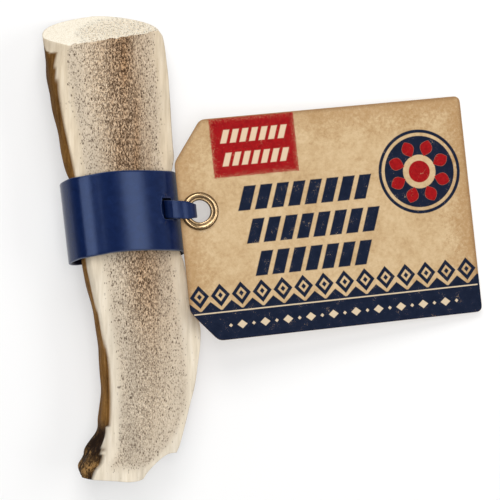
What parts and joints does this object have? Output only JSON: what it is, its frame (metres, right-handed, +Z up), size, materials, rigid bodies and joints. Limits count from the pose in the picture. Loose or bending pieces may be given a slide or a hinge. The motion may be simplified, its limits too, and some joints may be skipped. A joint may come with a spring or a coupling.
{
  "type": "split antler with band and tag",
  "caption": "Lengthwise half of an antler lying sawn face up, with a leather band round it and a card tag on a brass eyelet.",
  "frame": {"origin": "middle of the footprint, on the floor", "axes": "+Z up out of the floor, +Y along the antler toward its thick sawn end, +X toward the tag"},
  "size_m": [0.2084, 0.2182, 0.0332],
  "materials": {
    "antler": "sawn antler, cream and tan, brown bark behind",
    "band_leather": "smooth navy leather",
    "loop_leather": "smooth navy leather",
    "eyelet_brass": "worn antique brass",
    "tag_card": "aged kraft card printed with a red panel, rows of navy bars, a rosette and a navy border"
  },
  "bodies": {
    "root": {"antler": "antler", "band": "band_leather", "band_loop": "loop_leather", "eyelet": "eyelet_brass", "tag": "tag_card"}
  },
  "joints": []
}
